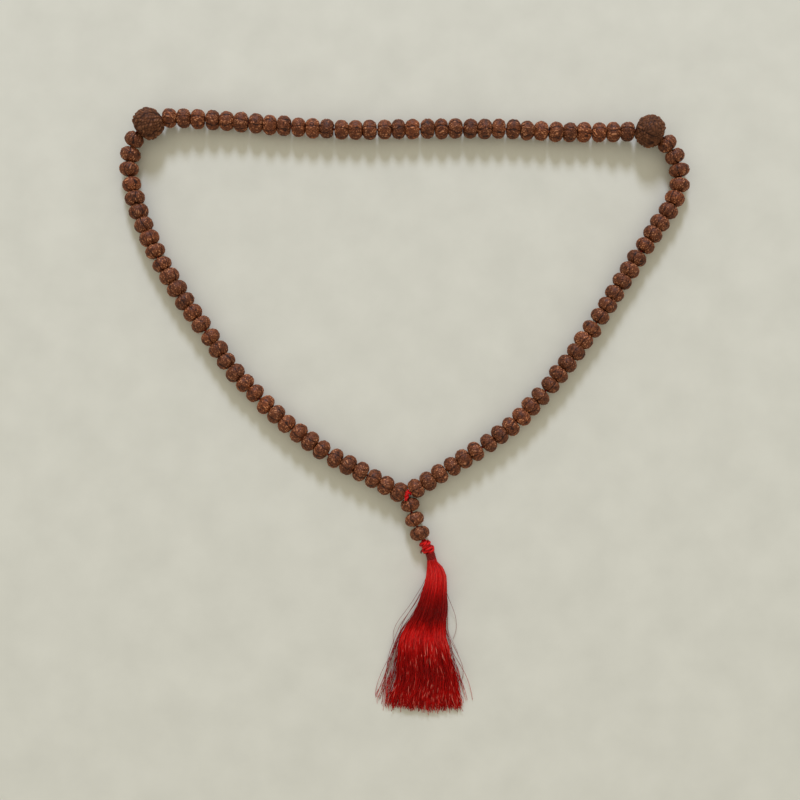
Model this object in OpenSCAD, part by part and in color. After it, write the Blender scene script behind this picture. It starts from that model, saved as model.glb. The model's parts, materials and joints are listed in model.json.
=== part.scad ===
// Mala: a closed loop of ninety-nine small seed beads and two larger markers on one
// thread, with a tail of three beads and a tassel. It lies flat on the XY plane, with
// its top row along X, its tassel towards -Y, and the thread at bead centre height.
// Beads that lie in one straight stretch of thread share a node, as three separate solids.

/* [Beads] */
// Diameter of a small bead, across the thread
bead_d = 8; // [7.8:0.05:8.1]
// Thickness of a top-row bead, along the thread
top_bead_t = 5.52; // [5.45:0.01:5.6]
// Thickness of a left-arm bead, along the thread
left_bead_t = 5.56; // [5.45:0.01:5.6]
// Thickness of a right-arm bead, along the thread, from the flatter seeds of the string
right_bead_t = 5.39; // [5.3:0.01:5.5]
// Diameter of a marker bead, across the thread
marker_d = 13; // [12:0.1:13.2]
// Thickness of a marker bead, along the thread
marker_t = 9.6; // [9.4:0.1:9.8]
// Diameter of a tail bead, across the thread
tail_bead_d = 7.5; // [7.2:0.05:7.6]
// Thickness of a tail bead, along the thread
tail_bead_t = 5.35; // [5.2:0.05:5.4]

/* [Thread] */
// Diameter of the thread
thread_d = 1; // [0.8:0.05:1.1]
// Diameter of the bore through every bead
bore_d = 1.6; // [1.5:0.05:1.7]
// Slack between two beads of one straight stretch
run_gap = 0.14; // [0.12:0.01:0.17]
// Slack between two straight stretches, where the thread bends in its plane
bend_gap = 0.42; // [0.4:0.01:0.45]
// Slack on each side of a marker
marker_gap = 1.2; // [1.15:0.01:1.25]
// Slack at the places where the whole strand folds
fold_gap = 0.66; // [0.64:0.01:0.7]

/* [Tassel] */
// Diameter of the two-lobed knot above the tassel
knot_d = 3.7; // [3.4:0.1:3.8]
// Length of that knot
knot_length = 5.4; // [5:0.1:5.6]
// Diameter of the cord that binds the tassel's neck
binding_cord_d = 0.7; // [0.6:0.05:0.75]
// Number of turns in the binding
binding_turns = 4; // [3:1:4]

/* [Hidden] */
$fn = 48;
// Exponent of a bead's outline: 2 is an ellipse, and more is flatter at the poles
FULLNESS = 2.5;
ARC_STEPS = 16;
CURVE_STEPS = 10;
THREAD_SIDES = 8;
SKIRT_SIDES = 20;
RAMP_LENGTH = 16;
THREAD_END_GAP = 0.2;
FIRST_TAIL_REACH = 4.5;
TAIL_GAP = 0.6;
KNOT_GAP = 0.35;

// The loop in plan, from the foot of the left arm, over the top, to the foot of the right arm
LOOP_ROUTE = [
    [-0.2, -34.2], [-12.5, -27.5], [-28, -19.5], [-42.5, -9.5], [-56, 2.5], [-68, 15], [-78, 29.5],
    [-88, 43.5], [-97, 58], [-103, 71], [-108, 83], [-110, 96.5], [-108, 107.9], [-102.3, 113.6],
    [-95, 116.5], [-72, 115.5], [-49, 113.5], [-26, 112], [-2, 112], [20, 112.5], [43, 112],
    [66, 110.7], [89, 110.8], [97.7, 110.5], [104.2, 106.3], [108, 100.9], [110, 94.5], [109.3, 87.5],
    [105.7, 80], [100, 71.5], [91, 58], [82.5, 44.5], [73.5, 30.5], [63, 16.5], [51.5, 2.5],
    [39, -9.5], [24.5, -18.5], [14.5, -25], [1.7, -32.65]
];
// The straight stretches of each side, as [first bead, last bead]
TOP_RUNS = [for (k = [0:10]) [3 * k + 1, 3 * k + 3]];
LEFT_RUNS = concat([for (k = [1:3]) [k, k]], [for (k = [0:9]) [3 * k + 4, 3 * k + 6]]);
RIGHT_RUNS = concat([for (k = [1:6]) [k, k]], [for (k = [0:8]) [3 * k + 7, 3 * k + 9]]);
// Each fold opens the gap after one link of the left arm and the gap after one of the right arm
FOLDS = [[9, 28], [7, 32], [5, 34], [3, 36], [1, 38]];
STRAND_NAMES = ["top", "upper", "shoulder", "middle", "lower", "bottom"];
// Directions of the tail's three straight stretches, one bead on each, in degrees from +X
TAIL_TURNS = [-78, -69, -68];
KNOT_TURN = -60;
NECK_TURN = -76;
// The tassel's skirt as [distance below its neck, left edge, right edge, top height]
SKIRT_RINGS = [
    [0.8, -1.2, 1.2, 3.4], [1.8, -1.9, 2.4, 4.2], [4, -1.9, 4.6, 5.2], [9, -1.8, 6.2, 6.6],
    [15, -4.6, 7, 7], [22, -8.8, 7, 6], [28.5, -11.8, 6.7, 5.4], [29.8, -11.4, 6.3, 3.6],
    [30.8, -11.8, 6.3, 3.6], [32.1, -12.6, 7, 5.6], [38.5, -13.4, 8, 6.6], [46, -15.4, 9.4, 5.6],
    [54, -16.6, 11, 4.2], [62.5, -15.4, 11.4, 2.6]
];
SKIRT_SPLIT = 8;
SKIRT_NECK_HEIGHT = 2.2;

function two_digits(n) = n < 10 ? str("0", n) : str(n);
function run_name(side, run) =
    run[0] == run[1] ? str(side, "_bead_", two_digits(run[0]))
    : str(side, "_beads_", two_digits(run[0]), "_", two_digits(run[1]));
function bead_link(side, run, t) = [run_name(side, run), run[1] - run[0] + 1, bead_d, t];

// Every link of the loop in thread order, as [name, number of beads, bead diameter, bead thickness]
LINKS = concat(
    [for (k = [len(LEFT_RUNS) - 1:-1:0]) bead_link("left", LEFT_RUNS[k], left_bead_t)],
    [["marker_left", 1, marker_d, marker_t]],
    [for (run = TOP_RUNS) bead_link("top", run, top_bead_t)],
    [["marker_right", 1, marker_d, marker_t]],
    [for (run = RIGHT_RUNS) bead_link("right", run, right_bead_t)]
);
LAST = len(LINKS) - 1;
LEFT_MARKER = len(LEFT_RUNS);
RIGHT_MARKER = LEFT_MARKER + len(TOP_RUNS) + 1;

function is_fold(i) = len([for (f = FOLDS) if (f[0] == i || f[1] == i) i]) > 0;
function is_by_marker(i) = LINKS[i][2] == marker_d || LINKS[i + 1][2] == marker_d;
function gap_after(i) = is_by_marker(i) ? marker_gap : is_fold(i) ? fold_gap : bend_gap;
function link_length(link) = link[1] * link[3] + (link[1] - 1) * run_gap;
// Where each link starts, measured along the thread
LINK_STARTS = [
    for (i = 0, s = 0; i <= LAST; s = s + link_length(LINKS[i]) + gap_after(i), i = i + 1) s
];
STRAND_LENGTH = LINK_STARTS[LAST] + link_length(LINKS[LAST]);

function curve_point(a, b, c, d, t) =
    0.5 * (2 * b + t * (c - a) + t * t * (2 * a - 5 * b + 4 * c - d)
    + t * t * t * (3 * b - a - 3 * c + d));
function at_end(route, i) = route[max(0, min(len(route) - 1, i))];
// A smooth curve through every point of the route
function smooth(route) = concat(
    [for (i = [0:len(route) - 2], k = [0:CURVE_STEPS - 1])
        curve_point(at_end(route, i - 1), route[i], route[i + 1], at_end(route, i + 2), k / CURVE_STEPS)],
    [route[len(route) - 1]]
);
function distances(line) = [
    for (i = 0, s = 0; i < len(line); s = s + norm(at_end(line, i + 1) - line[i]), i = i + 1) s
];
RAW_LINE = smooth(LOOP_ROUTE);
RAW_DISTANCES = distances(RAW_LINE);
// The route is scaled so that its length is exactly what the beads and their slack take up
ROUTE_SCALE = STRAND_LENGTH / RAW_DISTANCES[len(RAW_DISTANCES) - 1];
function table(k) = [for (i = [0:len(RAW_LINE) - 1]) ROUTE_SCALE * [RAW_DISTANCES[i], RAW_LINE[i][k]]];
X_TABLE = table(0);
Y_TABLE = table(1);

function link_middle(i) = LINK_STARTS[i] + link_length(LINKS[i]) / 2;
// The thread climbs to the middle of each marker, which is thicker than its neighbours
function rise(s, marker) =
    let (u = min(1, abs(s - link_middle(marker)) / RAMP_LENGTH))
    (marker_d - bead_d) / 2 * (1 + cos(180 * u)) / 2;
function strand_point(s) = [
    lookup(s, X_TABLE), lookup(s, Y_TABLE),
    bead_d / 2 + rise(s, LEFT_MARKER) + rise(s, RIGHT_MARKER)
];
function unit(v) = v / norm(v);
function link_from(i) = strand_point(LINK_STARTS[i]);
function link_to(i) = strand_point(LINK_STARTS[i] + link_length(LINKS[i]));
function link_direction(i) = unit(link_to(i) - link_from(i));
function link_centre(i) =
    LINKS[i][1] == 1 ? strand_point(link_middle(i)) : (link_from(i) + link_to(i)) / 2;
function link_face(i, side) = link_centre(i) + side * link_direction(i) * link_length(LINKS[i]) / 2;
// The point in the middle of the gap after a link, where a fold's axis crosses the thread
function gap_point(i) = (link_face(i, 1) + link_face(i + 1, -1)) / 2;

JUNCTION = (link_face(0, -1) + link_face(LAST, 1)) / 2;
function heading(turn) = [cos(turn), sin(turn), 0];
HALF_TAIL_PITCH = (tail_bead_t + TAIL_GAP) / 2;
// The tail is straight between its hinges, and a bead sits on each stretch
TAIL_START = [JUNCTION[0], JUNCTION[1], tail_bead_d / 2];
TAIL_FIRST = TAIL_START + FIRST_TAIL_REACH * heading(TAIL_TURNS[0]);
TAIL_HINGE_1 = TAIL_FIRST + HALF_TAIL_PITCH * heading(TAIL_TURNS[0]);
TAIL_SECOND = TAIL_HINGE_1 + HALF_TAIL_PITCH * heading(TAIL_TURNS[1]);
TAIL_HINGE_2 = TAIL_SECOND + HALF_TAIL_PITCH * heading(TAIL_TURNS[1]);
TAIL_THIRD = TAIL_HINGE_2 + HALF_TAIL_PITCH * heading(TAIL_TURNS[2]);
TAIL_HINGE_3 = TAIL_THIRD + (tail_bead_t / 2 + KNOT_GAP) * heading(TAIL_TURNS[2]);
TAIL_CENTRES = [TAIL_FIRST, TAIL_SECOND, TAIL_THIRD];
TAIL_HINGES = [TAIL_START, TAIL_HINGE_1, TAIL_HINGE_2, TAIL_HINGE_3];
KNOT_START = TAIL_HINGE_3 + KNOT_GAP * heading(KNOT_TURN);
// The knot and the neck slope down from the tail's thread to the tassel's neck
KNOT_SLOPE = -0.16;
KNOT_DIRECTION = unit(heading(KNOT_TURN) + [0, 0, KNOT_SLOPE]);
KNOT_END = KNOT_START + knot_length * KNOT_DIRECTION;
NECK_DIRECTION = unit(heading(NECK_TURN) + [0, 0, KNOT_SLOPE]);
BINDING_LENGTH = binding_turns * binding_cord_d;
NECK_CORE_D = 2;
NECK_START_GAP = 0.3;
BINDING_START_GAP = 0.05;
NECK_END = KNOT_END + (BINDING_LENGTH + 0.1) * NECK_DIRECTION;
SKIRT_ORIGIN = [NECK_END[0], NECK_END[1], 0];
SKIRT_HINGE_REACH = (SKIRT_RINGS[SKIRT_SPLIT - 1][0] + SKIRT_RINGS[SKIRT_SPLIT][0]) / 2;
SKIRT_HINGE = SKIRT_ORIGIN + [0, -SKIRT_HINGE_REACH, 1.8];

// Turns the Z axis to a direction
module along(direction) {
    rotate([0, acos(direction[2]), atan2(direction[1], direction[0])]) children();
}

function squared(x) = sign(x) * pow(abs(x), 2 / FULLNESS);
// Outline of half a bead beside its bore: a full-bodied oval that the bore cuts at both poles
function bead_outline(d, t) =
    let (edge = acos(pow(bore_d / d, FULLNESS / 2)))
    [for (k = [0:ARC_STEPS])
        let (a = edge * (2 * k / ARC_STEPS - 1))
        [d / 2 * squared(cos(a)), t / 2 * squared(sin(a))]];

module bead(d, t) {
    rotate_extrude() polygon(bead_outline(d, t));
}

module beads_of_link(i) {
    link = LINKS[i];
    pitch = link[3] + run_gap;
    tint = link[2] == marker_d ? "#5b3d27" : "#6e3a28";
    color(tint)
        translate(link_centre(i))
            along(link_direction(i))
                for (k = [0:link[1] - 1])
                    translate([0, 0, (k - (link[1] - 1) / 2) * pitch])
                        bead(link[2], link[3]);
}

module tail_bead(k) {
    color("#6e3a28")
        translate(TAIL_CENTRES[k])
            along(heading(TAIL_TURNS[k]))
                bead(tail_bead_d, tail_bead_t);
}

// A tube swept through the points of a line that stays near the XY plane
module swept_thread(line) {
    last = len(line) - 1;
    rings = [
        for (i = [0:last])
            let (direction = unit(at_end(line, i + 1) - at_end(line, i - 1)))
            let (side = unit(cross([0, 0, 1], direction)), up = cross(direction, side))
            for (k = [0:THREAD_SIDES - 1])
                let (a = 360 * (k + 0.5) / THREAD_SIDES)
                line[i] + thread_d / 2 * (cos(a) * side + sin(a) * up)
    ];
    walls = [
        for (i = [0:last - 1], k = [0:THREAD_SIDES - 1])
            let (j = (k + 1) % THREAD_SIDES, a = i * THREAD_SIDES, b = a + THREAD_SIDES)
            each [[a + k, b + k, b + j], [a + k, b + j, a + j]]
    ];
    ends = [
        [for (k = [0:THREAD_SIDES - 1]) k],
        [for (k = [THREAD_SIDES - 1:-1:0]) last * THREAD_SIDES + k]
    ];
    polyhedron(rings, concat(walls, ends));
}

// The thread through a row of links, straight inside each and bent in the gaps between them
function thread_line(from, to, open_start, open_end) = concat(
    open_start ? [gap_point(from - 1) + THREAD_END_GAP * link_direction(from)] : [],
    [for (i = [from:to], side = [-1, 1]) link_face(i, side)],
    open_end ? [gap_point(to) - THREAD_END_GAP * link_direction(to)] : []
);

// Strand 0 is the top row with both markers, and each later one is a stretch of both arms
module strand_thread(n) {
    color("#a81c14")
        if (n == 0) {
            swept_thread(thread_line(FOLDS[0][0] + 1, FOLDS[0][1], true, true));
        } else {
            left_start = n < len(FOLDS) ? FOLDS[n][0] + 1 : 0;
            right_end = n < len(FOLDS) ? FOLDS[n][1] : LAST;
            swept_thread(thread_line(left_start, FOLDS[n - 1][0], n < len(FOLDS), true));
            swept_thread(thread_line(FOLDS[n - 1][1] + 1, right_end, true, n < len(FOLDS)));
        }
}

module tail_thread(k) {
    start_gap = k == 0 ? 1.1 : THREAD_END_GAP;
    reach = TAIL_HINGES[k + 1] - TAIL_HINGES[k];
    color("#a81c14")
        translate(TAIL_HINGES[k] + start_gap * unit(reach))
            along(unit(reach))
                cylinder(d = thread_d, h = norm(reach) - start_gap - THREAD_END_GAP);
}

// Outline of half a knot with two lobes, tapered at both ends
module knot_lobes(d, length) {
    rotate_extrude()
        polygon(concat(
            [[0, 0]],
            [for (k = [0:ARC_STEPS])
                let (u = k / ARC_STEPS)
                [d / 2 * (0.42 + 0.58 * abs(sin(360 * u))), length * u]],
            [[0, length]]
        ));
}

module junction_knot() {
    color("#b01e16")
        translate(JUNCTION + [0.35, -0.1, -0.8])
            cylinder(d = 1.2, h = 2.8);
}

module tassel_knot() {
    color("#b01e16")
        translate(KNOT_START)
            along(KNOT_DIRECTION)
                knot_lobes(knot_d, knot_length);
}

module tassel_neck() {
    color("#a81c14")
        translate(KNOT_END + NECK_START_GAP * NECK_DIRECTION)
            along(NECK_DIRECTION)
                cylinder(d = NECK_CORE_D, h = BINDING_LENGTH - NECK_START_GAP);
}

module tassel_binding() {
    color("#c8241a")
        translate(KNOT_END + BINDING_START_GAP * NECK_DIRECTION)
            along(NECK_DIRECTION)
                rotate_extrude()
                    difference() {
                        for (k = [0:binding_turns - 1])
                            translate([NECK_CORE_D / 2 + binding_cord_d / 2, (k + 0.5) * binding_cord_d])
                                circle(d = binding_cord_d * 1.06, $fn = 24);
                        translate([0, -1])
                            square([NECK_CORE_D / 2, BINDING_LENGTH + 2]);
                    }
}

// One cross-section of the skirt: a flattened oval that lies on the surface
function skirt_ring(ring) =
    let (low = max(0, SKIRT_NECK_HEIGHT - ring[0]), middle = (ring[1] + ring[2]) / 2)
    [for (k = [0:SKIRT_SIDES - 1])
        let (a = 360 * k / SKIRT_SIDES, half = (ring[3] - low) / 2)
        SKIRT_ORIGIN + [
            middle + (ring[2] - ring[1]) / 2 * cos(a), -ring[0],
            low + half + half * sin(a)
        ]];

module skirt(first, last) {
    count = last - first;
    points = [for (i = [first:last]) each skirt_ring(SKIRT_RINGS[i])];
    walls = [
        for (i = [0:count - 1], k = [0:SKIRT_SIDES - 1])
            let (j = (k + 1) % SKIRT_SIDES, a = i * SKIRT_SIDES, b = a + SKIRT_SIDES)
            each [[a + k, a + j, b + j], [a + k, b + j, b + k]]
    ];
    ends = [
        [for (k = [SKIRT_SIDES - 1:-1:0]) k],
        [for (k = [0:SKIRT_SIDES - 1]) count * SKIRT_SIDES + k]
    ];
    color("#b81a18") polyhedron(points, concat(walls, ends));
}

for (i = [0:LAST])
    beads_of_link(i);
for (k = [0:2])
    tail_bead(k);
for (n = [0:len(STRAND_NAMES) - 1])
    strand_thread(n);
for (k = [0:2])
    tail_thread(k);
junction_knot();
tassel_knot();
tassel_neck();
tassel_binding();
skirt(0, SKIRT_SPLIT - 1);  // tassel_skirt_upper
skirt(SKIRT_SPLIT, len(SKIRT_RINGS) - 1);  // tassel_skirt_lower
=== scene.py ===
import json
import math

import bpy
import numpy as np
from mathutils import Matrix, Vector

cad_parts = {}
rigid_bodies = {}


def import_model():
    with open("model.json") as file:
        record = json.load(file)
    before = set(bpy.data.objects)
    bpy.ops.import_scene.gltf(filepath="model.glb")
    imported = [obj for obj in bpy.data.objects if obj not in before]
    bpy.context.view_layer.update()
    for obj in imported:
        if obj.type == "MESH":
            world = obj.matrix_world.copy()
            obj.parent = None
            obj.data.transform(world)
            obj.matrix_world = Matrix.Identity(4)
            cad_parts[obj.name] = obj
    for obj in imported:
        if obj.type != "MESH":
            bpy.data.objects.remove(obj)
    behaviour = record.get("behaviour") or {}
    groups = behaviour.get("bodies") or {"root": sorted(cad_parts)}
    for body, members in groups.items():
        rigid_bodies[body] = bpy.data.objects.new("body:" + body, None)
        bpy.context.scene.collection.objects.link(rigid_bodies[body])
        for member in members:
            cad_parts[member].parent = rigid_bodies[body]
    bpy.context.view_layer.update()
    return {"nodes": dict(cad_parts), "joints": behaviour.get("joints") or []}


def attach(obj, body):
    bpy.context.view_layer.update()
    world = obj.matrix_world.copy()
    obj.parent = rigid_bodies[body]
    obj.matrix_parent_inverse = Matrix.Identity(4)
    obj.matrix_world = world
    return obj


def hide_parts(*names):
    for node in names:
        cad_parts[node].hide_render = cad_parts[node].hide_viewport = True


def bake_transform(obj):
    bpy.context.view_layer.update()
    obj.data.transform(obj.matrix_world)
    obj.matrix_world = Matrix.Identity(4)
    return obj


for leftover in list(bpy.data.objects):
    bpy.data.objects.remove(leftover)
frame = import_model()

MM = 0.001
TAU = 2 * math.pi
JOINTS = {joint["name"]: joint for joint in frame["joints"]}
BORE_RADIUS = 0.8 * MM
THREAD_RADIUS = 0.5 * MM
RUN_GAP = 0.14 * MM


# ---------------------------------------------------------------- colours and materials


def rgb(r, g, b):
    """A display colour of 0 to 255 a channel, as the linear colour that the shaders take."""

    def linear(c):
        c /= 255
        return c / 12.92 if c <= 0.04045 else ((c + 0.055) / 1.055) ** 2.4

    return (linear(r), linear(g), linear(b), 1.0)


def grey(level):
    return (level, level, level, 1.0)


class Finish:
    """A Principled material and short ways to wire the nodes that feed it."""

    def __init__(self, name):
        self.material = bpy.data.materials.new(name)
        self.material.use_nodes = True
        self.tree = self.material.node_tree
        self.tree.nodes.clear()
        self.shader = self.node("ShaderNodeBsdfPrincipled")
        output = self.node("ShaderNodeOutputMaterial")
        self.link(self.shader.outputs["BSDF"], output.inputs["Surface"])

    def node(self, kind, **settings):
        made = self.tree.nodes.new(kind)
        for key, value in settings.items():
            setattr(made, key, value)
        return made

    def link(self, source, target):
        self.tree.links.new(source, target)

    def attribute(self, name):
        return self.node("ShaderNodeAttribute", attribute_name=name).outputs["Fac"]

    def noise(self, scale, detail=4.0, stretch=None):
        coordinates = self.node("ShaderNodeTexCoord").outputs["Object"]
        if stretch:
            mapping = self.node("ShaderNodeMapping")
            mapping.inputs["Scale"].default_value = stretch
            self.link(coordinates, mapping.inputs["Vector"])
            coordinates = mapping.outputs["Vector"]
        made = self.node("ShaderNodeTexNoise")
        made.inputs["Scale"].default_value = scale
        made.inputs["Detail"].default_value = detail
        self.link(coordinates, made.inputs["Vector"])
        return made.outputs["Fac"]

    def ramp(self, source, *stops):
        made = self.node("ShaderNodeValToRGB")
        elements = made.color_ramp.elements
        while len(elements) < len(stops):
            elements.new(0.5)
        for element, (position, colour) in zip(elements, stops):
            element.position = position
            element.color = colour
        self.link(source, made.inputs["Fac"])
        return made.outputs["Color"]

    def mix(self, kind, factor, first, second):
        made = self.node("ShaderNodeMix", data_type="RGBA", blend_type=kind)
        if isinstance(factor, float):
            made.inputs["Factor"].default_value = factor
        else:
            self.link(factor, made.inputs["Factor"])
        self.link(first, made.inputs["A"])
        if isinstance(second, tuple):
            made.inputs["B"].default_value = second
        else:
            self.link(second, made.inputs["B"])
        return made.outputs["Result"]

    def bump(self, source, strength, distance, under=None):
        made = self.node("ShaderNodeBump")
        made.inputs["Strength"].default_value = strength
        made.inputs["Distance"].default_value = distance
        self.link(source, made.inputs["Height"])
        if under:
            self.link(under, made.inputs["Normal"])
        return made.outputs["Normal"]

    def wire(self, **inputs):
        """Feed the shader's sockets, whose names are written with _ for each space."""
        for key, value in inputs.items():
            socket = self.shader.inputs[key.replace("_", " ")]
            if isinstance(value, (float, tuple)):
                socket.default_value = value
            else:
                self.link(value, socket)
        return self.material


def seed_finish(name, crevice, body, crest, warm, roughness, specular):
    """Oiled seed: painted shade in its crevices, a painted highlight on its crests, mottled, each seed a
    little different.
    """
    f = Finish(name)
    # The relief ramp paints shade into the crevices and a highlight onto the crests
    depth = f.ramp(
        f.attribute("relief"), (0.05, crevice), (0.5, body), (0.86, body), (1.0, crest)
    )
    dark_mottle, pale_mottle = (0.62, 0.58, 0.56, 1.0), (1.25, 1.2, 1.15, 1.0)
    mottle = f.ramp(f.noise(620.0, 5.0), (0.35, dark_mottle), (0.66, pale_mottle))
    mottled = f.mix("MULTIPLY", 0.8, depth, mottle)
    patches = f.ramp(f.noise(170.0, 2.0), (0.42, grey(0.0)), (0.62, grey(1.0)))
    patched = f.mix("MULTIPLY", f.mix("MIX", 0.65, patches, grey(0.0)), mottled, warm)
    darkest, palest = (0.62, 0.6, 0.62, 1.0), (1.5, 1.4, 1.3, 1.0)
    tint = f.ramp(f.attribute("tint"), (0.0, darkest), (0.5, grey(1.0)), (1.0, palest))
    tinted = f.mix("MULTIPLY", 1.0, patched, tint)
    rough = f.ramp(f.noise(1400.0, 3.0), (0.3, roughness[0]), (0.7, roughness[1]))
    grain = f.bump(f.noise(5200.0, 3.0), 0.35, 0.06 * MM)
    pores = f.bump(f.noise(1900.0, 6.0), 0.55, 0.16 * MM, grain)
    return f.wire(
        Base_Color=tinted, Roughness=rough, Normal=pores, Coat_Weight=0.06, Coat_Roughness=0.4,
        Specular_IOR_Level=specular,
    )


def cord_finish(name, dark, body, light, roughness, sheen):
    """Twisted silky cord: fibres run along it, with painted shade where the plies meet and a painted
    highlight on their crests.
    """
    f = Finish(name)
    plies = f.ramp(f.attribute("relief"), (0.0, dark), (0.55, body), (1.0, light))
    fibres = f.ramp(f.noise(3800.0, 3.0), (0.3, (0.7, 0.6, 0.6, 1.0)), (0.7, (1.18, 1.1, 1.1, 1.0)))
    coloured = f.mix("MULTIPLY", 0.8, plies, fibres)
    rough = f.ramp(f.noise(2600.0, 2.0), (0.3, roughness[0]), (0.7, roughness[1]))
    fuzz = f.bump(f.noise(6500.0, 3.0), 0.4, 0.05 * MM)
    return f.wire(
        Base_Color=coloured, Roughness=rough, Normal=fuzz, Sheen_Weight=sheen, Sheen_Roughness=0.4,
        Specular_IOR_Level=0.2,
    )


def silk_finish(name, dark, body, light, painted_glint):
    """Loose silk strands: their tint is a painted sheen, painted shade where the skirt falls away from the
    light and painted highlight where it rises, with a few painted glints.
    """
    f = Finish(name)
    painted_sheen = f.ramp(f.attribute("tint"), (0.0, dark), (0.4, body), (0.78, light), (1.0, painted_glint))
    lengthwise = (9.0, 0.35, 9.0)
    streaks = f.ramp(
        f.noise(300.0, 4.0, lengthwise), (0.32, (0.6, 0.5, 0.5, 1.0)), (0.68, (1.2, 1.15, 1.15, 1.0))
    )
    coloured = f.mix("MULTIPLY", 0.75, painted_sheen, streaks)
    rough = f.ramp(f.noise(900.0, 2.0), (0.3, grey(0.3)), (0.7, grey(0.45)))
    return f.wire(Base_Color=coloured, Roughness=rough, Specular_IOR_Level=0.12)


# In each seed finish the crevice colour is painted shade and the crest colour a painted highlight
SEED = seed_finish(
    "oiled_seed", rgb(42, 15, 6), rgb(117, 65, 37), rgb(192, 134, 96), (0.84, 0.76, 0.72, 1.0),
    (grey(0.45), grey(0.62)), 0.22,
)
MARKER_SEED = seed_finish(
    "dry_marker_seed", rgb(58, 31, 17), rgb(106, 66, 42), rgb(136, 92, 64), (0.9, 0.8, 0.72, 1.0),
    (grey(0.62), grey(0.7)), 0.16,
)
# The thread's colours are darker than its own red, as painted shade for the thread in the gaps between the
# seeds
THREAD = cord_finish(
    "twisted_thread", rgb(60, 4, 2), rgb(118, 14, 9), rgb(150, 28, 20), (grey(0.55), grey(0.7)), 0.1
)
KNOT_CORD = cord_finish(
    "glossy_knot_cord", rgb(84, 0, 0), rgb(184, 3, 6), rgb(226, 22, 18), (grey(0.45), grey(0.62)), 0.0
)
# The silk's dark and light colours are painted shade and highlight bands, and its last colour a painted
# glint
SILK = silk_finish("tassel_silk", rgb(128, 0, 0), rgb(164, 5, 3), rgb(202, 12, 8), rgb(246, 146, 128))


# ---------------------------------------------------------------- mesh helpers


def unit(v):
    v = np.asarray(v, float)
    return v / np.linalg.norm(v)


def basis(axis):
    """Columns are two directions across the axis and the axis itself."""
    w = unit(axis)
    u = unit(np.cross((0, 0, 1), w)) if abs(w[2]) < 0.99 else np.array([1.0, 0, 0])
    return np.stack([u, np.cross(w, u), w], 1)


def coordinates(node):
    """The places of all of a CAD node's vertices."""
    mesh = frame["nodes"][node].data
    flat = np.empty(len(mesh.vertices) * 3)
    mesh.vertices.foreach_get("co", flat)
    return flat.reshape(-1, 3)


def joint_point(name):
    return np.array(JOINTS[name]["pos_m"])


def grid_faces(rows, columns, closed_rows=False):
    """Quads over a grid of points whose columns wrap round, and whose rows may too."""
    i = np.arange(rows if closed_rows else rows - 1)[:, None]
    j = np.arange(columns)[None, :]
    a, b = i * columns + j, i * columns + (j + 1) % columns
    shift = ((i + 1) % rows) * columns - i * columns
    return np.stack([a, b, b + shift, a + shift], -1).reshape(-1, 4)


def build(name, points, quads, material, attributes, polygons=()):
    """A smooth mesh object at the origin, with one number a point for each attribute."""
    mesh = bpy.data.meshes.new(name)
    faces = [tuple(q) for q in np.asarray(quads).tolist()] + [tuple(p) for p in polygons]
    mesh.from_pydata(np.asarray(points, float).tolist(), [], faces)
    mesh.polygons.foreach_set("use_smooth", np.ones(len(mesh.polygons), bool))
    for key, values in attributes.items():
        layer = mesh.attributes.new(key, "FLOAT", "POINT")
        layer.data.foreach_set("value", np.asarray(values, np.float32))
    mesh.materials.append(material)
    mesh.update()
    made = bpy.data.objects.new(name, mesh)
    bpy.context.scene.collection.objects.link(made)
    return made


def resampled(line, step):
    """The line again, with points at most a step apart and evenly spread, and how far along each is."""
    line = np.asarray(line, float)
    along = np.concatenate([[0], np.cumsum(np.linalg.norm(np.diff(line, axis=0), axis=1))])
    count = max(2, int(math.ceil(along[-1] / step)) + 1)
    at = np.linspace(0, along[-1], count)
    return np.stack([np.interp(at, along, line[:, k]) for k in range(3)], 1), at


def smoothed(line, rounds):
    """The line with its corners eased, its ends kept."""
    line = np.array(line, float)
    for _ in range(rounds):
        line[1:-1] = 0.25 * line[:-2] + 0.5 * line[1:-1] + 0.25 * line[2:]
    return line


def carried_frames(line):
    """At each point, two directions across the line that turn as little as they can along it."""
    tangents = np.gradient(line, axis=0)
    tangents /= np.linalg.norm(tangents, axis=1)[:, None]
    side = basis(tangents[0])[:, 0]
    sides = []
    for t in tangents:
        side = unit(side - t * (side @ t))
        sides.append(side)
    sides = np.array(sides)
    return sides, np.cross(tangents, sides)


def tube(line, radii, theta):
    """A tube round a line, as (points, quads, end caps). There is one row of radii to each point."""
    across, up = carried_frames(line)
    points = (
        line[:, None, :]
        + (radii * np.cos(theta))[..., None] * across[:, None, :]
        + (radii * np.sin(theta))[..., None] * up[:, None, :]
    ).reshape(-1, 3)
    sides = len(theta)
    last = (len(line) - 1) * sides
    caps = [list(range(sides))[::-1], [last + k for k in range(sides)]]
    return points, grid_faces(len(line), sides), caps


def cord_parts(line, radius, plies=3, pitch=2.4 * MM, step=0.3 * MM, sides=12, depth=0.2, taper=0.0):
    """A twisted cord along a line, as (points, quads, end caps, relief)."""
    path, along = resampled(line, step)
    theta = np.arange(sides) / sides * TAU
    lobes = np.abs(np.cos(plies / 2 * (theta[None, :] - TAU * along[:, None] / pitch / plies * 2)))
    share = np.ones(len(path))
    if taper:
        ends = np.minimum(along, along[-1] - along) / taper
        share = np.sqrt(np.clip(ends, 0.05, 1))
    radii = radius * (1 - depth + depth * lobes) * share[:, None]
    return *tube(path, radii, theta), lobes.reshape(-1)


def strand_parts(line, radius, tone, sides=5):
    """A silk strand that thins to its tip, as (points, quads, end caps, tint)."""
    theta = np.arange(sides) / sides * TAU
    radii = (radius * np.linspace(1.0, 0.7, len(line)))[:, None]
    return *tube(line, radii, theta), np.repeat(np.broadcast_to(tone, len(line)), sides)


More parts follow.
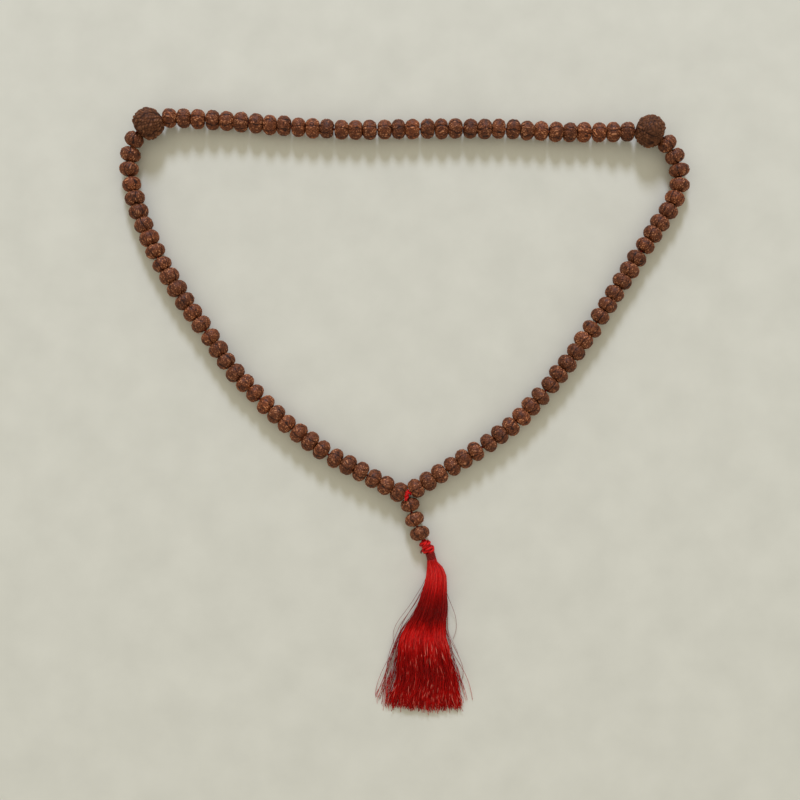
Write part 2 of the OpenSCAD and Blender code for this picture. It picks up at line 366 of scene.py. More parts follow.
def joined(parts):
    """Several (points, quads, caps, value) parts as one."""
    points, quads, caps, values, start = [], [], [], [], 0
    for p, q, c, v in parts:
        points.append(p)
        quads.append(np.asarray(q) + start)
        caps += [[k + start for k in cap] for cap in c]
        values.append(v)
        start += len(p)
    return np.concatenate(points), np.concatenate(quads), caps, np.concatenate(values)


def cord_piece(name, parts, material, relief_share=1.0):
    """One object of several cords."""
    points, quads, caps, relief = joined(parts)
    return build(name, points, quads, material, {"relief": relief * relief_share}, caps)


def silk_piece(name, parts):
    """One object of many silk strands, whose tint carries the painted sheen."""
    points, quads, caps, painted_sheen = joined(parts)
    return build(name, points, quads, SILK, {"tint": painted_sheen}, caps)


# ---------------------------------------------------------------- carved seeds


class Seed:
    """How one kind of seed is carved. Lengths are in metres."""

    def __init__(
        self, around, rows, knobs, crevice, spread, furrow, unevenness, fullness, stretch, warp
    ):
        self.around, self.rows, self.knobs = around, rows, knobs
        # Depth of the crevices, width over which a knob rises from one, and depth of the furrows
        self.crevice, self.spread, self.furrow = crevice, spread, furrow
        self.unevenness = unevenness
        # A section is an ellipse at a fullness of 2, and squarer above
        self.fullness = fullness
        # How far knobs are drawn out from pole to pole, less being further, and pushed out of line
        self.stretch, self.warp = stretch, warp


SMALL = Seed(
    around=112, rows=54, knobs=280, crevice=0.2 * MM, spread=0.24 * MM, furrow=0.2 * MM,
    unevenness=0.05 * MM, fullness=2.2, stretch=0.4, warp=0.05,
)
LARGE = Seed(
    around=150, rows=96, knobs=270, crevice=0.38 * MM, spread=0.5 * MM, furrow=0.3 * MM,
    unevenness=0.16 * MM, fullness=2.25, stretch=0.5, warp=0.1,
)
OUTLINE_SAMPLES = 900
LUMPS = ((2, 0.016), (3, 0.014))
KNOB_JOG = 0.9
GOLDEN_TURN = math.pi * (1 + 5**0.5)
FURROWS = 5
FURROW_JOG = 0.12
FURROW_SWAY = 0.16
FURROW_WIDTH = 0.2 * MM
POLE_FURROW_SHARE = 0.45
FADE_WIDTH = 0.16
BORE_RINGS = (0.72, 0.24, -0.24, -0.72)


def outline(radius, half, limit, kind):
    """Even points along half of a seed's section, from bore to bore, and the outward directions there.

    The poles are cut flat at limit, where the next seed lies against this one.
    """
    power = 2 / kind.fullness
    edge = math.acos((BORE_RADIUS / radius) ** (kind.fullness / 2))
    a = np.linspace(-edge, edge, OUTLINE_SAMPLES)
    r = radius * np.abs(np.cos(a)) ** power
    z = np.clip(half * np.sign(np.sin(a)) * np.abs(np.sin(a)) ** power, -limit, limit)
    along = np.concatenate([[0], np.cumsum(np.hypot(np.diff(r), np.diff(z)))])
    at = np.linspace(0, along[-1], kind.rows)
    r, z = np.interp(at, along, r), np.interp(at, along, z)
    dr, dz = np.gradient(r), np.gradient(z)
    length = np.hypot(dr, dz)
    return r, z, dz / length, -dr / length


def turned(r, z, theta):
    """A surface of revolution, as a grid of points. r is a column, or a grid with one column a turn."""
    r = np.broadcast_to(r, (len(r), len(theta)))
    return np.stack([r * np.cos(theta), r * np.sin(theta), np.broadcast_to(z[:, None], r.shape)], -1)


def knob_middles(kind, radius, half, rng):
    """Points spread evenly over a seed and then jogged."""
    k = np.arange(kind.knobs) + 0.5
    polar, azimuth = np.arccos(1 - 2 * k / kind.knobs), GOLDEN_TURN * k
    middles = np.stack(
        [np.cos(azimuth) * np.sin(polar), np.sin(azimuth) * np.sin(polar), np.cos(polar)], 1
    )
    middles = middles + rng.normal(0, KNOB_JOG / math.sqrt(kind.knobs), middles.shape)
    return middles / np.linalg.norm(middles, axis=1)[:, None] * (radius, radius, half)


def warped(points, radius, warp, rng):
    """The points pushed about by three slow waves, so that knobs don't lie in rows."""
    moved = points.copy()
    for _ in range(3):
        wave = rng.normal(0, 1, 3)
        wave *= rng.uniform(1.0, 2.0) / (radius * 0.25) / np.linalg.norm(wave)
        push = rng.normal(0, 1, 3) * radius * warp
        moved += np.sin(points @ wave + rng.uniform(0, TAU))[:, None] * push
    return moved


def knob_relief(kind, skin, radius, half, rng):
    """How far each point is up its knob, from 0 in a crevice to 1, and how high that knob stands.

    Knobs are the cells round scattered points, and crevices run where two cells meet.
    """
    middles = knob_middles(kind, radius, half, rng)
    # Distances count for less from pole to pole, so the knobs are drawn out into ridges that way
    here = warped(skin, radius, kind.warp, rng) * (1, 1, kind.stretch)
    there = middles * (1, 1, kind.stretch)
    squares = (here**2).sum(1)[:, None] + (there**2).sum(1) - 2 * here @ there.T
    gaps = np.sqrt(np.maximum(squares, 0))
    two = np.partition(gaps, 1, axis=1)[:, :2]
    inside = np.clip((two[:, 1] - two[:, 0]) / kind.spread, 0, 1)
    heights = rng.normal(0, kind.unevenness, kind.knobs)[gaps.argmin(1)]
    return inside * inside * (3 - 2 * inside), heights


def furrow_relief(r, height, theta, rng):
    """How deep each point is in the furrows, from 0 to 1. They run from pole to pole and sway a little."""
    furrow = np.zeros((len(r), len(theta)))
    for k in range(FURROWS):
        middle = TAU * (k + rng.uniform(-FURROW_JOG, FURROW_JOG)) / FURROWS
        sway = FURROW_SWAY * rng.uniform(-1, 1) * np.sin(math.pi * height + rng.uniform(0, TAU))
        across = np.angle(np.exp(1j * (theta[None, :] - middle - sway))) * r[:, None]
        furrow = np.maximum(furrow, np.exp(-((across / FURROW_WIDTH) ** 2)))
    return furrow


def seed_parts(kind, radius, half, limit, rng):
    """A bored, furrowed and knobbly seed about the Z axis, as (points, quads, relief)."""
    r, z, out_r, out_z = outline(radius, half, limit, kind)
    theta = np.arange(kind.around) / kind.around * TAU
    lumps = 1
    for waves, size in LUMPS:
        lumps = lumps + size * np.sin(waves * theta + rng.uniform(0, TAU))
    skin = turned(r[:, None] * lumps, z, theta)
    normal = turned(out_r[:, None], out_z, theta)

    grid = skin.shape[:2]
    crest, heights = knob_relief(kind, skin.reshape(-1, 3), radius, half, rng)
    crest, heights = crest.reshape(grid), heights.reshape(grid)
    furrow = furrow_relief(r, z[:, None] / half, theta, rng)

    # The carving fades out towards the bore
    fade = 1 - np.exp(-(((r - BORE_RADIUS) / (radius * FADE_WIDTH)) ** 2))[:, None]
    furrow_share = POLE_FURROW_SHARE + (1 - POLE_FURROW_SHARE) * out_r[:, None]
    lift = crest * heights - (1 - crest) * kind.crevice - furrow * kind.furrow * furrow_share
    skin = skin + normal * (lift * fade)[..., None]
    # relief sets painted shade, darker in crevices and furrows and towards and inside the bore, and
    # painted highlight on higher knobs
    relief = np.clip(1 - (1 - crest) * 0.85 - furrow * 0.8 + 0.5 * heights / kind.crevice, 0, 1)
    relief = relief * (0.35 + 0.65 * fade)

    bore = turned(np.full((len(BORE_RINGS), 1), BORE_RADIUS), np.array(BORE_RINGS) * z[-1], theta)
    points = np.concatenate([skin.reshape(-1, 3), bore.reshape(-1, 3)])
    relief = np.concatenate([relief.reshape(-1), np.zeros(len(BORE_RINGS) * kind.around)])
    quads = grid_faces(kind.rows + len(BORE_RINGS), kind.around, closed_rows=True)
    return points, quads, relief


# ---------------------------------------------------------------- seeds on the thread


class Link:
    """One node of seeds on the thread: where it lies, and how long and wide it is."""

    def __init__(self, node):
        joint = JOINTS["turn_" + node]
        self.node, self.body, self.parent = node, joint["child"], joint["parent"]
        self.centre, self.axis = np.array(joint["pos_m"]), unit(joint["axis"])
        offset = coordinates(node) - self.centre
        reach = offset @ self.axis
        self.length = reach.max() - reach.min()
        self.radius = np.linalg.norm(offset - reach[:, None] * self.axis, axis=1).max()
        numbers = [int(part) for part in node.split("_") if part.isdigit()]
        self.side = node.split("_")[0]
        self.numbers = list(range(numbers[0], numbers[-1] + 1)) if numbers else [1]

    def face(self, side):
        return self.centre + side * self.axis * self.length / 2


# How far the poles of a seed would stand out of its plain solid, and where the next seed stops them
SPARE = {
    "left": 0.36 * MM, "top": 0.36 * MM, "right": 0.36 * MM, "tail": 0.1 * MM, "marker": 0.95 * MM
}
LIMIT = {
    "left": 0.18 * MM, "top": 0.18 * MM, "right": 0.18 * MM, "tail": 0.16 * MM, "marker": 0.95 * MM
}
HINGE_SPARE = 0.12 * MM
RUN_LIMIT = 0.06 * MM
# Shares of the plain solid's thickness and radius, and how a seed leans and sits off the thread
THICKNESS_SHARE = (0.95, 1.05)
RADIUS_SHARE = {
    "left": (0.965, 1.03), "top": (0.965, 1.03), "right": (0.965, 1.03), "tail": (1.01, 1.05),
    "marker": (0.98, 0.99),
}
LEAN = 0.045
LEAN_LIMIT = 0.09
BORE_SLACK = 0.14 * MM
TINT_SPREAD = 0.14


def seeds_of(link, hinge_before, hinge_after, rng):
    """Carve and place a link's seeds. One beside a hinge has rounder shoulders, so it can tilt there."""
    count = len(link.numbers)
    shares = rng.uniform(*THICKNESS_SHARE, count)
    sizes = (link.length - (count - 1) * RUN_GAP) * shares / shares.sum()
    start = -link.length / 2
    numbers = link.numbers[::-1] if link.side == "left" else link.numbers
    marker = link.side == "marker"
    kind, finish = (LARGE, MARKER_SEED) if marker else (SMALL, SEED)
    limit = RUN_LIMIT if count > 1 else LIMIT[link.side]
    sideways = basis(link.axis)[:, :2]
    for place, (thickness, number) in enumerate(zip(sizes, numbers)):
        radius = link.radius * rng.uniform(*RADIUS_SHARE[link.side])
        by_hinge = (hinge_before and place == 0) or (hinge_after and place == count - 1)
        spare = HINGE_SPARE if by_hinge else SPARE[link.side]
        points, quads, relief = seed_parts(kind, radius, thickness / 2 + spare, thickness / 2 + limit, rng)
        lean = np.clip(rng.normal(0, LEAN, 2), -LEAN_LIMIT, LEAN_LIMIT)
        axis = link.axis if marker else unit(link.axis + sideways @ lean)
        spin = rng.uniform(0, TAU)
        turn = np.array(
            [[math.cos(spin), -math.sin(spin), 0], [math.sin(spin), math.cos(spin), 0], [0, 0, 1]]
        )
        off_thread = sideways @ rng.uniform(-BORE_SLACK, BORE_SLACK, 2)
        centre = link.centre + link.axis * (start + thickness / 2) + off_thread
        start += thickness + RUN_GAP
        points = points @ (basis(axis) @ turn).T + centre
        name = link.node + "_seed" if marker else f"{link.side}_seed_{number:02d}"
        tint = np.full(len(points), np.clip(rng.normal(0.5, TINT_SPREAD), 0, 1))
        made = build(name, points, quads, finish, {"relief": relief, "tint": tint})
        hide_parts(link.node)
        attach(made, link.body)


def ordered(side, backwards=False):
    """The links of one side, in the order that the thread runs through them."""
    found = [Link(n) for n in frame["nodes"] if n.startswith((side + "_bead_", side + "_beads_"))]
    return sorted(found, key=lambda link: link.numbers[0], reverse=backwards)


STRAND = [
    *ordered("left", backwards=True), Link("marker_left"), *ordered("top"), Link("marker_right"),
    *ordered("right"),
]
TAIL = ordered("tail")
random = np.random.default_rng(41)
for before, link, after in zip([None, *STRAND[:-1]], STRAND, [*STRAND[1:], None]):
    hinges = [beside is not None and beside.parent != link.parent for beside in (before, after)]
    seeds_of(link, *hinges, random)
for link in TAIL:
    seeds_of(link, False, False, random)


# ---------------------------------------------------------------- thread

THREAD_END_GAP = 0.2 * MM
BRIDGE_REACH = 1.6 * MM
BRIDGE_RADIUS = THREAD_RADIUS * 0.97
# The first stretch of tail thread starts below the loop's knot
TAIL_THREAD_START = 1.1 * MM
TAIL_HINGES = [joint_point(n) for n in ("tail_lift", "tail_bend", "tail_fold", "tassel_swing")]


def bridge(name, start, end, direction_in, direction_out):
    """Thread that bends in the gap between two bodies, its ends hidden in the bores on either side."""
    line = [start - BRIDGE_REACH * direction_in, start, end, end + BRIDGE_REACH * direction_out]
    made = cord_piece(name, [cord_parts(line, BRIDGE_RADIUS)], THREAD)
    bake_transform(made)


def strand_lines():
    """For each body of the loop, the lines of thread that it carries, each a list of points."""
    found = {}
    for before, link, after in zip([None, *STRAND[:-1]], STRAND, [*STRAND[1:], None]):
        lines = found.setdefault(link.parent, [])
        if before is None or before.parent != link.parent:
            lines.append([])
            if before is not None:
                lines[-1].append((before.face(1) + link.face(-1)) / 2 + THREAD_END_GAP * link.axis)
        lines[-1] += [link.face(-1), link.face(1)]
        if after is not None and after.parent != link.parent:
            lines[-1].append((link.face(1) + after.face(-1)) / 2 - THREAD_END_GAP * link.axis)
    return found


def make_loop_thread():
    for body, lines in strand_lines().items():
        node = "thread_" + body.replace("_strand", "")
        made = cord_piece(node + "_twist", [cord_parts(line, THREAD_RADIUS) for line in lines], THREAD)
        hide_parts(node)
        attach(made, body)
    for before, after in zip(STRAND[:-1], STRAND[1:]):
        bodies = {before.parent, after.parent}
        if len(bodies) == 2:
            joint = next(j for j in JOINTS.values() if {j["parent"], j["child"]} == bodies)
            bridge(
                f"thread_{joint['name']}_{before.side}", before.face(1), after.face(-1),
                before.axis, after.axis,
            )


def make_tail_thread():
    for k, link in enumerate(TAIL):
        toward = unit(TAIL_HINGES[k + 1] - TAIL_HINGES[k])
        start = TAIL_HINGES[k] + (TAIL_THREAD_START if k == 0 else THREAD_END_GAP) * toward
        end = TAIL_HINGES[k + 1] - THREAD_END_GAP * toward
        made = cord_piece(link.parent + "_twist", [cord_parts([start, end], THREAD_RADIUS)], THREAD)
        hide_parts(f"tail_thread_{k + 1:02d}")
        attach(made, link.parent)
    for k, (above, below) in enumerate(zip(TAIL[:-1], TAIL[1:]), start=1):
        bridge(
            f"tail_thread_bend_{k}", above.face(1), below.face(-1), above.axis, below.axis,
        )


make_loop_thread()
make_tail_thread()


# ---------------------------------------------------------------- the knot at the foot of the loop

# Where the knot's twisted pair of threads runs, from behind the gap to over the first tail bead
KNOT_ROUTE = MM * np.array([
    [0.3, 1.3, 0.9], [0.1, 0.9, 2.0], [-0.25, 0.2, 2.9], [-0.45, -0.8, 3.4], [-0.65, -1.8, 3.55],
    [-0.9, -2.7, 3.5],
])
PAIR_TURNS = 1.5
PAIR_OFFSET = 0.42 * MM
PAIR_RADIUS = 0.48 * MM
# The open ring of thread round that pair: half its width, depth and rise, and its height
RING = (1.15, 0.55, 0.5)
RING_HEIGHT = 2.3
RING_RADIUS = 0.4 * MM


def make_junction_knot():
    junction = TAIL_HINGES[0]
    route = smoothed(resampled(junction + KNOT_ROUTE, 0.4 * MM)[0], 4)
    across, up = carried_frames(route)
    parts = []
    for phase in (0.0, math.pi):
        turn = np.linspace(0, PAIR_TURNS * TAU, len(route)) + phase
        line = route + PAIR_OFFSET * (np.cos(turn)[:, None] * across + np.sin(turn)[:, None] * up)
        parts.append(cord_parts(line, PAIR_RADIUS, taper=0.6 * MM))
    a = np.linspace(-0.6, TAU - 1.2, 26)
    width, depth, rise = RING
    ring = np.stack([width * np.cos(a), depth * np.sin(a), RING_HEIGHT + rise * np.sin(a)], 1)
    parts.append(cord_parts(junction + MM * ring, RING_RADIUS))
    made = cord_piece("junction_knot_twist", parts, KNOT_CORD)
    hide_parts("junction_knot")
    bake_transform(made)


make_junction_knot()


# ---------------------------------------------------------------- the tassel's knot and binding


def knot_ends():
    """The two ends of the CAD knot's longest direction, the one by the tail first."""
    points = coordinates("tassel_knot")
    middle = points.mean(0)
    _, _, directions = np.linalg.svd(points - middle, full_matrices=False)
    axis = directions[0] * (-1 if directions[0][1] > 0 else 1)
    reach = (points - middle) @ axis
    return middle + reach.min() * axis, middle + reach.max() * axis, axis


KNOT_START, KNOT_END, KNOT_AXIS = knot_ends()
NECK_END = joint_point("tassel_lift")
WRAP_TURNS = 3.4
WRAP_RADIUS = 0.86 * MM
# Cords that cross over the wraps: [where each starts round the knot, how far it turns]
CROSSINGS = ((0.9, 0.62), (3.6, 0.5))
CROSSING_LIFT = 0.42 * MM
CROSSING_RADIUS = 0.62 * MM
CORE_RADIUS = 0.9 * MM
# The loose end leaves the knot's waist and frays where it was cut
STUB = MM * np.array([[-0.6, -0.2, -0.2], [-1.4, -0.7, -0.5], [-2.0, -1.5, -1.1], [-2.2, -2.1, -1.7]])
FRAYS = MM * np.array([[-0.5, -0.5, -0.3], [-0.1, -0.8, -0.2], [0.3, -0.7, -0.3], [-0.3, -0.3, -0.5]])
STUB_RADIUS = 0.36 * MM
FRAY_RADIUS = 0.13 * MM
BINDING_TURNS = 4.2
BINDING_RADIUS = 1.5 * MM
BINDING_CORD_RADIUS = 0.42 * MM


def wound(start, end, turns, radius_at, steps=44, phase=0.0):
    """A line wound round the axis from start to end, with that many steps a turn."""
    across = basis(end - start)
    u = np.linspace(0, 1, int(steps * turns))
    a = TAU * turns * u + phase
    r = np.array([radius_at(x) for x in u])
    return (
        start + u[:, None] * (end - start)
        + (r * np.cos(a))[:, None] * across[:, 0] + (r * np.sin(a))[:, None] * across[:, 1]
    )


def two_lobes(u):
    """How far out the knot's wraps lie at a share u of the way along it."""
    return (0.55 + (1.0 + 0.3 * u) * abs(math.sin(TAU * u)) ** 0.7) * MM


def make_tassel_knot():
    wraps = wound(KNOT_START, KNOT_END, WRAP_TURNS, two_lobes)
    parts = [cord_parts(wraps, WRAP_RADIUS, pitch=4.6 * MM, taper=0.6 * MM)]
    for phase, turns in CROSSINGS:
        crossing = wound(
            KNOT_START + 0.4 * MM * KNOT_AXIS, KNOT_END - 0.3 * MM * KNOT_AXIS, turns,
            lambda u: two_lobes(u) + CROSSING_LIFT, steps=70, phase=phase,
        )
        parts.append(
            cord_parts(smoothed(crossing, 6), CROSSING_RADIUS, pitch=4.0 * MM, taper=0.5 * MM)
        )
    core = [KNOT_START - 0.3 * MM * KNOT_AXIS, KNOT_END + 0.2 * MM * KNOT_AXIS]
    parts.append(cord_parts(core, CORE_RADIUS))
    made = cord_piece("tassel_knot_wraps", parts, KNOT_CORD)
    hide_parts("tassel_knot")
    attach(made, "tassel_head")


def make_loose_end():
    stub = KNOT_START + 0.52 * (KNOT_END - KNOT_START) + STUB
    parts = [cord_parts(smoothed(resampled(stub, 0.2 * MM)[0], 5), STUB_RADIUS)]
    for fray in FRAYS:
        parts.append(cord_parts([stub[-1], stub[-1] + fray], FRAY_RADIUS, plies=2, taper=0.3 * MM))
    made = cord_piece("tassel_knot_loose_end", parts, THREAD, relief_share=0.6)
    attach(made, "tassel_head")


def make_binding():
    line = wound(KNOT_END, NECK_END, BINDING_TURNS, lambda u: BINDING_RADIUS)
    turns = cord_parts(line, BINDING_CORD_RADIUS, pitch=1.8 * MM, step=0.16 * MM, taper=0.3 * MM)
    made = cord_piece("tassel_binding_turns", [turns], THREAD)
    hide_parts("tassel_binding")
    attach(made, "tassel_head")


make_tassel_knot()
bridge(
    "tail_thread_swing", TAIL[2].face(1), KNOT_START, TAIL[2].axis, KNOT_AXIS,
)
make_loose_end()
make_binding()


# ---------------------------------------------------------------- the tassel's strands

# Distances in this section are in millimetres, from a point on the floor under the neck's end.
# The skirt below its neck, as [distance down, left edge, right edge, top height]
SKIRT = np.array([
    [-1.0, -1.5, 1.5, 3.9], [0.6, -1.7, 1.8, 4.1], [3.2, -1.75, 4.4, 5.2], [6.4, -2.1, 5.6, 6.6],
    [10.0, -2.9, 5.7, 8.0], [13.0, -3.9, 5.6, 9.0], [15.6, -4.7, 5.6, 9.3], [18.0, -5.5, 5.6, 8.8],
    [21.0, -6.7, 5.4, 6.6], [24.2, -8.5, 5.0, 4.6], [27.0, -10.2, 4.8, 4.2], [30.5, -11.9, 4.8, 5.8],
    [33.5, -12.5, 5.5, 7.2], [37.0, -12.7, 6.3, 7.9], [40.5, -12.9, 7.3, 6.9], [46.0, -13.1, 8.9, 4.8],
    [50.0, -14.2, 9.4, 3.6], [54.0, -15.6, 9.8, 2.8], [58.0, -16.2, 10.0, 2.0], [64.0, -16.2, 10.1, 1.4],
])
# How brightly the silk's painted sheen shows at a distance down the skirt, from 0 to 0.8: painted
# highlight where the skirt rises to the light, painted shade where it falls away
SHINE = np.array([
    [-2.0, 0.35], [1.0, 0.56], [4.0, 0.78], [8.0, 0.76], [10.8, 0.56], [13.4, 0.2], [17.5, 0.04],
    [22.5, 0.06], [25.4, 0.28], [28.0, 0.7], [30.5, 0.78], [33.0, 0.68], [35.4, 0.42], [38.5, 0.22],
    [44.0, 0.16], [48.0, 0.26], [53.0, 0.44], [58.0, 0.58], [66.0, 0.64],
])
SHINE_LIMIT = 0.8
SHINE_SLIDE = 1.5
# Where single strands get a painted glint down the skirt, and how often one strand does
GLINTS = (33, 62)
GLINTS_EACH = 2.0
GLINT_WIDTH = (0.8, 2.6)
# Strands gather in locks that sway, drift and end together
LOCK_COUNT = 70
LOCK_SPREAD = 0.13
BUNDLES = 5
STRANDS_EACH = 260
RINGS = 34
STRAND_RADIUS = (0.11, 0.17)
STRAND_TOP = -0.9
TIP_MIDDLE, TIP_SIDE, TIP_CURVE = 59.5, 0.2, 1.8
TIP_UNEVENNESS = 2.0
SHORT_SHARE = 0.2
SHORTENED = (1, 9)
# How far down a strand has come wholly free of the neck, and the heights it keeps between
FREE_LENGTH = 60
NECK_LOW = 0.95
LOWEST = 0.14
FLOOR_CLEARANCE = 0.16
MIDDLE_SHARE = 0.42
NECK_BASE = np.array([NECK_END[0], NECK_END[1], 0.0])


def skirt_at(down):
    """The skirt's left edge, right edge and top height at distances down it."""
    return [np.interp(down, SKIRT[:, 0], SKIRT[:, k]) for k in (1, 2, 3)]


def skirt_points(x, down, z):
    return NECK_BASE + MM * np.stack([x, -down, z], 1)


def shine_along(line, offset, rng):
    """The tint of a strand's points, as painted sheen: brighter where the skirt rises to the light, slid
    along a little, with painted glints.
    """
    down = (NECK_BASE[1] - line[:, 1]) / MM
    shine = np.interp(down + rng.normal(0, SHINE_SLIDE), SHINE[:, 0], SHINE[:, 1])
    tone = np.clip(shine + offset, 0, SHINE_LIMIT)
    for _ in range(rng.poisson(GLINTS_EACH)):
        glint, width = rng.uniform(*GLINTS), rng.uniform(*GLINT_WIDTH)
        tone += (1 - tone) * rng.uniform(0.5, 1.0) * np.exp(-(((down - glint) / width) ** 2))
    return tone


def silk_strand(rng, lock, side, depth, tip):
    """The line of one strand. side is from -1 to 1 across the skirt, and depth from 0, below, to 1."""
    down = np.linspace(STRAND_TOP, tip, RINGS)
    left, right, top = skirt_at(down)
    free = np.clip(down / FREE_LENGTH, 0, 1)
    sway = (
        lock["sway"] * np.sin(down / lock["wave"] + lock["phase"])
        + 0.75 * rng.normal() * np.sin(down / rng.uniform(2.4, 7) + rng.uniform(0, TAU))
    ) * free**1.5
    # The last few millimetres curl away to one side
    sway += rng.normal(0, 1.1) * np.clip((down - tip + rng.uniform(3, 10)) / 8, 0, 1) ** 2
    across = np.clip(side + lock["drift"] * free + 0.15 * rng.normal() * free**1.5, -1.02, 1.02)
    x = (left + right) / 2 + (right - left) / 2 * across + sway
    low = np.clip(NECK_LOW - down * 0.5, LOWEST, None)
    dome = np.sqrt(np.clip(1 - across**2, 0.02, 1)) ** 0.7
    middle = low + (top - low) * MIDDLE_SHARE
    z = middle + (depth * 2 - 1) * np.where(depth > 0.5, top - middle, middle - low) * dome
    z = z + 0.22 * rng.normal() * np.sin(down / 4 + rng.uniform(0, TAU)) * free
    return skirt_points(x, down, np.maximum(z, FLOOR_CLEARANCE))


def new_lock(rng):
    return {
        "sway": rng.uniform(0.1, 0.9), "wave": rng.uniform(6, 13), "phase": rng.uniform(0, TAU),
        "drift": rng.normal(0, 0.08), "reach": rng.normal(0, 1.0), "tone": rng.normal(0, 0.09),
        "side": np.sign(rng.uniform(-1, 1)) * rng.uniform(0, 1) ** 0.8,
    }


def locked_strand(rng, lock):
    """One strand of a lock, as parts for silk_piece."""
    side = np.clip(lock["side"] + rng.normal(0, LOCK_SPREAD), -1, 1)
    depth = 1 - rng.uniform(0, 1) ** 1.6 * 0.98
    tip = TIP_MIDDLE - TIP_CURVE * (side - TIP_SIDE) ** 2 + lock["reach"]
    tip -= abs(rng.normal(0, TIP_UNEVENNESS))
    if rng.uniform() < SHORT_SHARE:
        tip -= rng.uniform(*SHORTENED)
    line = silk_strand(rng, lock, side, depth, tip)
    # Strands lying lower in the skirt get painted shade, up to a tenth darker
    tone = shine_along(line, lock["tone"] + rng.normal(0, 0.13) - 0.1 * (1 - depth), rng)
    return strand_parts(line, rng.uniform(*STRAND_RADIUS) * MM, tone)


def make_skirt(rng):
    locks = [new_lock(rng) for _ in range(LOCK_COUNT)]
    for bundle in range(BUNDLES):
        parts = [locked_strand(rng, locks[rng.integers(len(locks))]) for _ in range(STRANDS_EACH)]
        made = silk_piece(f"tassel_strands_{bundle + 1}", parts)
        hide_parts("tassel_skirt_upper", "tassel_skirt_lower")
        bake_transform(made)


# Stray strands that have left the skirt: [where they leave, side there, tip across, tip down]
STRAYS = [
    [7, -1.0, -13.4, 36], [9, -1.0, -15.6, 42], [11, -0.98, -16.8, 46], [12, -0.95, -9.6, 46],
    [14, -1.0, -14.0, 49], [16, -0.95, -18.4, 52], [18, -1.0, -20.6, 51], [20, -0.95, -21.6, 54.5],
    [21, -1.0, -21.0, 55.5], [22, -0.9, -20.2, 56.5], [24, -1.0, -19.2, 56.5], [25, -0.95, -20.9, 53.5],
    [27, -1.0, -18.2, 57.5], [28, -0.9, -17.6, 57], [30, -1.0, -19.6, 52], [31, -0.95, -17.2, 58.5],
    [33, -1.0, -18.8, 56], [35, -0.95, -16.9, 58.5], [20, -0.85, -18.9, 57.5], [26, -0.92, -22.2, 52.5],
    [36, -1.0, -17.8, 55],
    [10, 0.95, 7.0, 32], [12, 1.0, 7.8, 38], [14, 0.95, 8.2, 41], [18, 1.0, 8.8, 37],
    [22, 0.95, 9.4, 44], [30, 1.0, 14.2, 56], [33, 1.0, 12.6, 54], [35, 0.95, 12.0, 56.5],
    [38, 1.0, 11.4, 58], [28, 0.9, 10.6, 51], [24, 1.0, 9.6, 49], [40, 0.95, 13.2, 57.5],
]
STRAY_TOP = 2.0
# Strays that leave below this run in pairs
PAIRED_BELOW = 19
STRAY_RADIUS = (0.08, 0.12)
STRAY_LOWEST = 0.18


def stray_strand(rng, leave, side, tip_across, tip_down):
    """One strand that follows the skirt's edge and then bows away from it, as parts for silk_piece."""
    down = np.linspace(STRAY_TOP, tip_down + rng.normal(0, 0.8), RINGS)
    left, right, top = skirt_at(down)
    edge = (left + right) / 2 + (right - left) / 2 * side
    away = np.clip((down - leave) / (tip_down - leave), 0, 1)
    bow = rng.normal(0, 1.5) * np.sin(math.pi * away)
    wave = rng.normal(0, 0.55) * np.sin(down / rng.uniform(2.2, 4.5) + rng.uniform(0, TAU))
    end = tip_across + rng.normal(0, 1.0)
    x = edge * (1 - away**1.25) + end * away**1.25 + (bow + wave) * away
    z = (0.3 * (1 + top)) * (1 - away) + STRAY_LOWEST
    z = z + 0.5 * abs(math.sin(leave)) * np.sin(math.pi * away)
    # A random tone, plus a painted highlight that grows on the strays below 40 mm down
    tone_and_painted_sheen = rng.uniform(0, 0.4) + rng.uniform(0.1, 0.7) * np.clip((down - 40) / 15, 0, 1)
    radius = rng.uniform(*STRAY_RADIUS) * MM
    return strand_parts(skirt_points(x, down, z), radius, np.clip(tone_and_painted_sheen, 0, 1))


def make_strays(rng):
    parts = []
    for leave, side, tip_across, tip_down in STRAYS:
        for _ in range(1 if leave < PAIRED_BELOW else 2):
            parts.append(stray_strand(rng, leave, side, tip_across, tip_down))
    made = silk_piece("tassel_stray_strands", parts)
    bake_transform(made)


NECK_STRANDS = 90
NECK_STRAND_RADIUS = 0.16 * MM


def make_neck(rng):
    """The bundle inside the binding, which bends with the skirt at the tassel's neck."""
    neck_axis = unit(NECK_END - KNOT_END)
    neck_frame = basis(neck_axis)
    down = np.array([2.2, 4.6, 7.0])
    left, right, top = skirt_at(down)
    parts = []
    for _ in range(NECK_STRANDS):
        angle, share = rng.uniform(0, TAU), math.sqrt(rng.uniform(0, 1))
        spot = neck_frame[:, 0] * math.cos(angle) + neck_frame[:, 1] * math.sin(angle)
        inside = KNOT_END - 0.4 * MM * neck_axis + spot * share * 0.95 * MM
        outside = NECK_END + spot * share * 1.3 * MM
        x = (left + right) / 2 + (right - left) / 2 * 0.8 * share * math.cos(angle)
        z = 0.5 * top + 0.38 * top * share * math.sin(angle) + 0.3
        line = np.concatenate([[inside], [outside], skirt_points(x, down, z)])
        line = smoothed(resampled(line, 0.7 * MM)[0], 4)
        parts.append(strand_parts(line, NECK_STRAND_RADIUS, np.clip(rng.normal(0.5, 0.15), 0, 0.9)))
    made = silk_piece("tassel_neck_strands", parts)
    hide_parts("tassel_neck")
    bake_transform(made)


random = np.random.default_rng(77)
make_skirt(random)
make_strays(random)
make_neck(random)


# ---------------------------------------------------------------- floor, light and camera

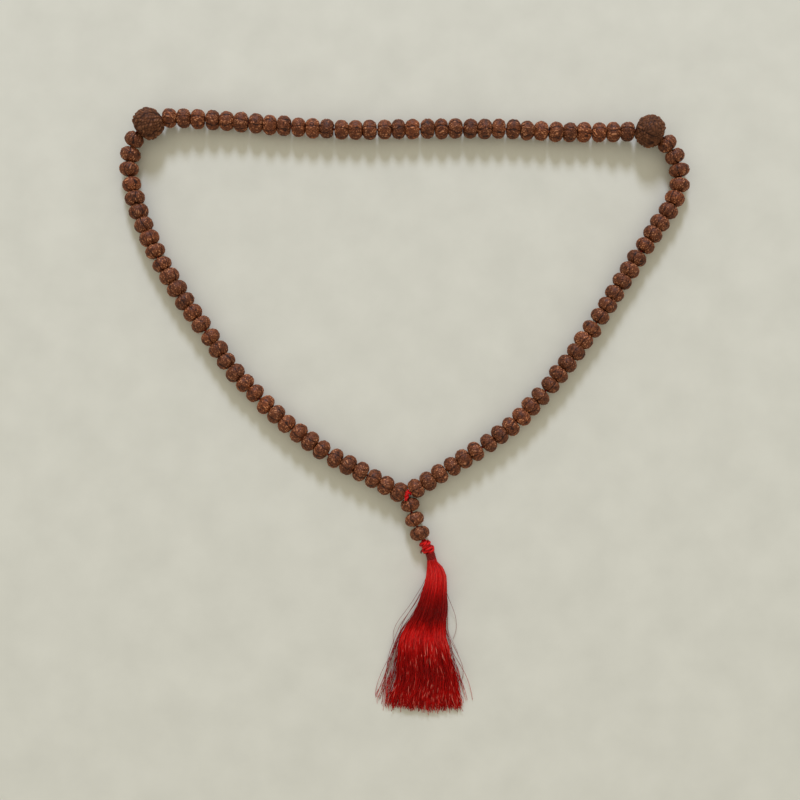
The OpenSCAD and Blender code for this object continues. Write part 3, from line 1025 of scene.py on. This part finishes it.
FLOOR_REACH = 3.0
FLOOR_HEIGHT = -0.2 * MM
KEY_PLACE = (-0.06, 2.34, 1.53)
KEY_SIZE = 0.6
KEY_POWER = 48.0
KEY_COLOUR = (0.75, 0.8, 1.0)
SKY_COLOUR = (1.0, 0.93, 0.77, 1.0)
SKY_STRENGTH = 0.625
CAMERA_PLACE = (-0.0045, -0.0162, 0.4455)
CAMERA_TILT = [math.radians(turn) for turn in (2.57, -0.29, -0.13)]


def make_floor():
    f = Finish("pale_floor")
    tone = f.ramp(f.noise(60.0, 6.0), (0.3, rgb(213, 214, 203)), (0.7, rgb(220, 221, 210)))
    f.wire(Base_Color=tone, Roughness=0.9, Specular_IOR_Level=0.2)
    corners = [
        [x * FLOOR_REACH, y * FLOOR_REACH, FLOOR_HEIGHT] for x, y in ((-1, -1), (1, -1), (1, 1), (-1, 1))
    ]
    floor = build("floor", corners, [[0, 1, 2, 3]], f.material, {})


def make_sky():
    world = bpy.data.worlds.new("studio")
    world.use_nodes = True
    background = world.node_tree.nodes["Background"]
    background.inputs["Color"].default_value = SKY_COLOUR
    background.inputs["Strength"].default_value = SKY_STRENGTH
    bpy.context.scene.world = world


def make_key_light():
    data = bpy.data.lights.new("key", "AREA")
    data.shape, data.size, data.energy, data.color = "DISK", KEY_SIZE, KEY_POWER, KEY_COLOUR
    made = bpy.data.objects.new("key", data)
    bpy.context.scene.collection.objects.link(made)
    made.location = KEY_PLACE
    made.rotation_mode = "QUATERNION"
    made.rotation_quaternion = (-Vector(KEY_PLACE)).to_track_quat("-Z", "Y")


def make_camera():
    data = bpy.data.cameras.new("camera")
    data.lens, data.sensor_width = 50.0, 36.0
    data.clip_start, data.clip_end = 0.01, 10.0
    camera = bpy.data.objects.new("camera", data)
    bpy.context.scene.collection.objects.link(camera)
    camera.location = CAMERA_PLACE
    camera.rotation_euler = CAMERA_TILT
    bpy.context.scene.camera = camera


make_floor()
make_sky()
make_key_light()
make_camera()
bpy.context.scene.view_settings.view_transform = "Standard"
